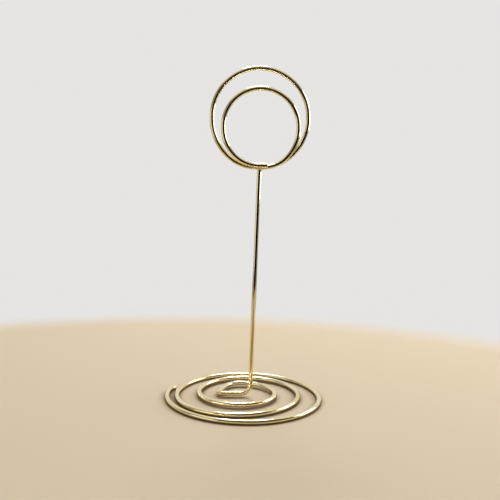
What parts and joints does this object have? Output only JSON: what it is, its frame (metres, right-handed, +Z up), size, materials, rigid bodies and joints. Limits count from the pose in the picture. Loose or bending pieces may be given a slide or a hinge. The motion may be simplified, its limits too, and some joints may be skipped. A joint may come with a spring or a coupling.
{
  "type": "table number holder",
  "caption": "Bent-wire table number holder: a spiral foot, a slim upright stem and a sprung clip of two round loops that grips a card.",
  "frame": {"origin": "on the table surface, at the centre of the spiral foot", "axes": "+Z up along the stem, -Y towards the reader of the card, +X to the reader's right"},
  "size_m": [0.07, 0.0672, 0.1459],
  "materials": {
    "gold_wire": "polished"
  },
  "bodies": {
    "stand": {"base_coil": "gold_wire", "stem": "gold_wire", "rear_ring": "gold_wire"},
    "clip": {"front_ring": "gold_wire"}
  },
  "joints": [
    {"name": "clip_spring", "type": "hinge", "parent": "stand", "child": "clip", "pos_m": [0.0079, -0.00203, 0.1026], "axis": [1, 0, 0], "range_deg": [0, 6], "stiffness_Nm_per_rad": 1.75}
  ]
}
